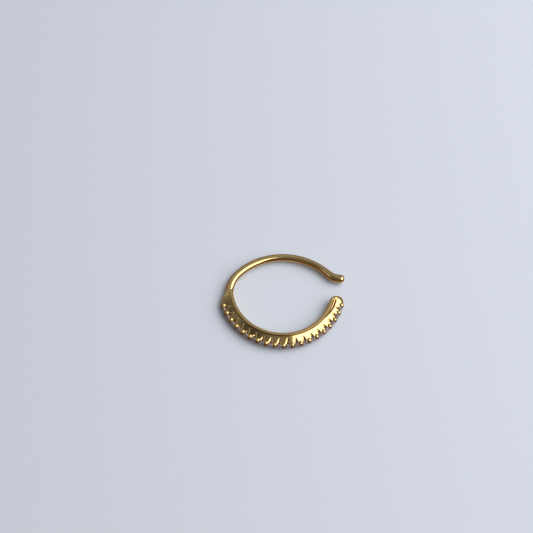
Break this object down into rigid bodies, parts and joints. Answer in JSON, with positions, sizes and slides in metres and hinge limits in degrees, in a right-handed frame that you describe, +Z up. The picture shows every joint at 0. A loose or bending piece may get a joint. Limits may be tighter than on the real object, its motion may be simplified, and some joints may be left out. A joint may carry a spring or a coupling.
{
  "type": "ear cuff",
  "caption": "Open ring that hugs the rim of the ear: a stone-set band at the front, a plain bent wire round the back and a rounded wire end at the opening.",
  "frame": {"origin": "middle of the footprint, on the floor the cuff lies on", "axes": "+Z up along the ring's axis, +X along the ring's longest way towards the opening, +Y towards the plain wire"},
  "size_m": [0.014, 0.0118, 0.0011],
  "materials": {
    "gold": "polished",
    "clear_stone": "polished"
  },
  "bodies": {
    "root": {"cuff_body": "gold", "stone_row": "clear_stone"}
  },
  "joints": []
}
